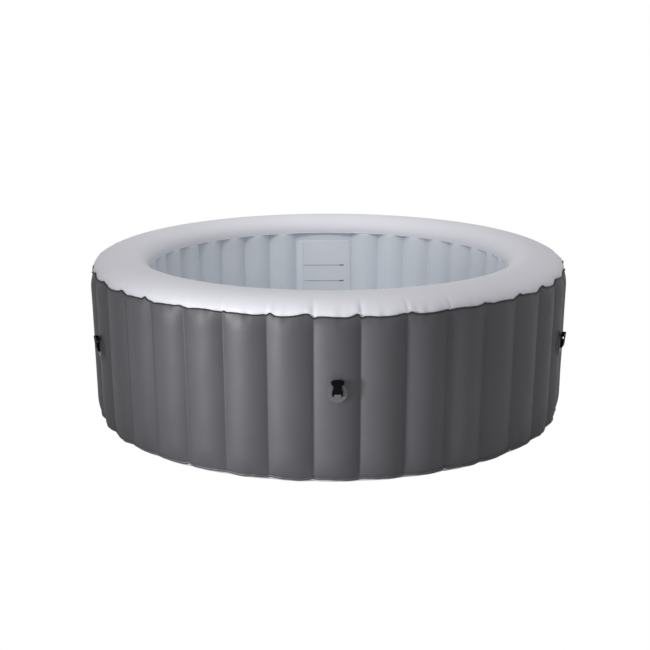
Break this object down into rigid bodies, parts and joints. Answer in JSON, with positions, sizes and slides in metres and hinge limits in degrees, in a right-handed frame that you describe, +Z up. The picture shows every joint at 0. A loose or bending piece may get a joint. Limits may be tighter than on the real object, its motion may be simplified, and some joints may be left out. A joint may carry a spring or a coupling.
{
  "type": "inflatable hot tub",
  "caption": "Round inflatable hot tub with a channelled dark wall, a pale domed rim, a water level panel, cover buckles and hose fittings.",
  "frame": {"origin": "on the ground, at the middle of the tub", "axes": "+Z up; -Y towards the front; +Y towards the service side with the hose fittings; +X to the right of a person facing the front"},
  "size_m": [2.038, 2.08, 0.7],
  "materials": {
    "wall_pvc": "satin laminated PVC, dark grey",
    "ring_pvc": "satin laminated PVC, pale grey",
    "liner_pvc": "satin laminated PVC, pale blue-grey",
    "web_pvc": "matt reinforced PVC",
    "panel_pvc": "satin stiff PVC plate",
    "service_plate": "matt stiff plate",
    "fitting_plastic": "satin moulded plastic",
    "cap_plastic": "satin moulded plastic",
    "seal_rubber": "matt rubber",
    "valve_pvc": "satin PVC",
    "valve_plastic": "satin moulded plastic",
    "spring_steel": "bright wire",
    "patch_pvc": "satin laminated PVC",
    "boss_pvc": "satin moulded PVC",
    "webbing": "woven polyester webbing",
    "buckle_plastic": "satin moulded plastic, black"
  },
  "bodies": {
    "tub": {"air_inlet_tube": "fitting_plastic", "buckle_bosses": "boss_pvc", "buckle_patches": "patch_pvc", "chamber_base": "ring_pvc", "drain_tube": "fitting_plastic", "fitting_gaskets": "seal_rubber", "inner_floor_weld": "liner_pvc", "inner_top_weld": "liner_pvc", "inner_wall": "liner_pvc", "level_panel": "panel_pvc", "lock_nuts": "fitting_plastic", "outer_bottom_weld": "ring_pvc", "outer_top_weld": "ring_pvc", "outer_wall": "wall_pvc", "service_panel": "service_plate", "tension_webs": "web_pvc", "top_ring": "ring_pvc", "tub_floor": "liner_pvc", "valve_body": "valve_plastic", "valve_flange": "valve_pvc", "water_inlet_tube": "fitting_plastic", "water_outlet_tube": "fitting_plastic", "webbing_tabs": "webbing", "valve_spring": "spring_steel"},
    "water_inlet_seal": {"water_inlet_seal": "seal_rubber"},
    "water_inlet_cap": {"water_inlet_cap": "cap_plastic"},
    "water_outlet_seal": {"water_outlet_seal": "seal_rubber"},
    "water_outlet_cap": {"water_outlet_cap": "cap_plastic"},
    "air_inlet_seal": {"air_inlet_seal": "seal_rubber"},
    "air_inlet_cap": {"air_inlet_cap": "cap_plastic"},
    "drain_seal": {"drain_seal": "seal_rubber"},
    "drain_cap": {"drain_cap": "cap_plastic"},
    "valve_seal": {"valve_seal": "seal_rubber"},
    "valve_cap": {"valve_cap": "valve_plastic"},
    "valve_poppet": {"valve_poppet": "valve_plastic"},
    "buckle_front": {"buckle_front": "buckle_plastic"},
    "buckle_right": {"buckle_right": "buckle_plastic"},
    "buckle_left": {"buckle_left": "buckle_plastic"},
    "buckle_rear_right": {"buckle_rear_right": "buckle_plastic"},
    "buckle_rear_left": {"buckle_rear_left": "buckle_plastic"}
  },
  "joints": [
    {"name": "water_inlet_cap_lift", "type": "slide", "parent": "tub", "child": "water_inlet_seal", "axis": [0, -1, 0], "range_m": [0, 0.00601]},
    {"name": "water_inlet_cap_turn", "type": "hinge", "parent": "water_inlet_seal", "child": "water_inlet_cap", "pos_m": [-0.082, 0.75331, 0.15], "axis": [0, -1, 0], "range_deg": [0, 540]},
    {"name": "water_outlet_cap_lift", "type": "slide", "parent": "tub", "child": "water_outlet_seal", "axis": [0, -1, 0], "range_m": [0, 0.00601]},
    {"name": "water_outlet_cap_turn", "type": "hinge", "parent": "water_outlet_seal", "child": "water_outlet_cap", "pos_m": [0.082, 0.75331, 0.15], "axis": [0, -1, 0], "range_deg": [0, 540]},
    {"name": "air_inlet_cap_lift", "type": "slide", "parent": "tub", "child": "air_inlet_seal", "axis": [0, -1, 0], "range_m": [0, 0.00601]},
    {"name": "air_inlet_cap_turn", "type": "hinge", "parent": "air_inlet_seal", "child": "air_inlet_cap", "pos_m": [0, 0.75331, 0.252], "axis": [0, -1, 0], "range_deg": [0, 540]},
    {"name": "drain_cap_lift", "type": "slide", "parent": "tub", "child": "drain_seal", "axis": [0, 1, 0], "range_m": [0, 0.00601]},
    {"name": "drain_cap_turn", "type": "hinge", "parent": "drain_seal", "child": "drain_cap", "pos_m": [0, 1.01807, 0.072], "axis": [0, 1, 0], "range_deg": [0, 540]},
    {"name": "valve_cap_lift", "type": "slide", "parent": "tub", "child": "valve_seal", "axis": [0.4195, 0.9078, 0], "range_m": [0, 0.00301]},
    {"name": "valve_cap_turn", "type": "hinge", "parent": "valve_seal", "child": "valve_cap", "pos_m": [0.43288, 0.93683, 0.47], "axis": [0.4195, 0.9078, 0], "range_deg": [0, 360]},
    {"name": "valve_press", "type": "slide", "parent": "tub", "child": "valve_poppet", "axis": [-0.4195, -0.9078, 0], "range_m": [0, 0.005], "stiffness_N_per_m": 600, "springref_m": -0.005, "deforming": ["valve_spring"]},
    {"name": "buckle_front_tilt", "type": "hinge", "parent": "tub", "child": "buckle_front", "pos_m": [0, -1.0315, 0.354], "axis": [1, 0, 0], "range_deg": [0, 150]},
    {"name": "buckle_right_tilt", "type": "hinge", "parent": "tub", "child": "buckle_right", "pos_m": [0.95571, -0.38808, 0.354], "axis": [0.3762, 0.9265, 0], "range_deg": [0, 150]},
    {"name": "buckle_left_tilt", "type": "hinge", "parent": "tub", "child": "buckle_left", "pos_m": [-0.95571, -0.38808, 0.354], "axis": [0.3762, -0.9265, 0], "range_deg": [0, 150]},
    {"name": "buckle_rear_right_tilt", "type": "hinge", "parent": "tub", "child": "buckle_rear_right", "pos_m": [0.71913, 0.73949, 0.354], "axis": [-0.7169, 0.6972, 0], "range_deg": [0, 150]},
    {"name": "buckle_rear_left_tilt", "type": "hinge", "parent": "tub", "child": "buckle_rear_left", "pos_m": [-0.71913, 0.73949, 0.354], "axis": [-0.7169, -0.6972, 0], "range_deg": [0, 150]}
  ],
  "couplings": [
    {"joint": "water_inlet_cap_lift", "follows": "water_inlet_cap_turn", "m_per_rad": 0.00063662},
    {"joint": "water_outlet_cap_lift", "follows": "water_outlet_cap_turn", "m_per_rad": 0.00063662},
    {"joint": "air_inlet_cap_lift", "follows": "air_inlet_cap_turn", "m_per_rad": 0.00063662},
    {"joint": "drain_cap_lift", "follows": "drain_cap_turn", "m_per_rad": 0.00063662},
    {"joint": "valve_cap_lift", "follows": "valve_cap_turn", "m_per_rad": 0.00047746}
  ]
}
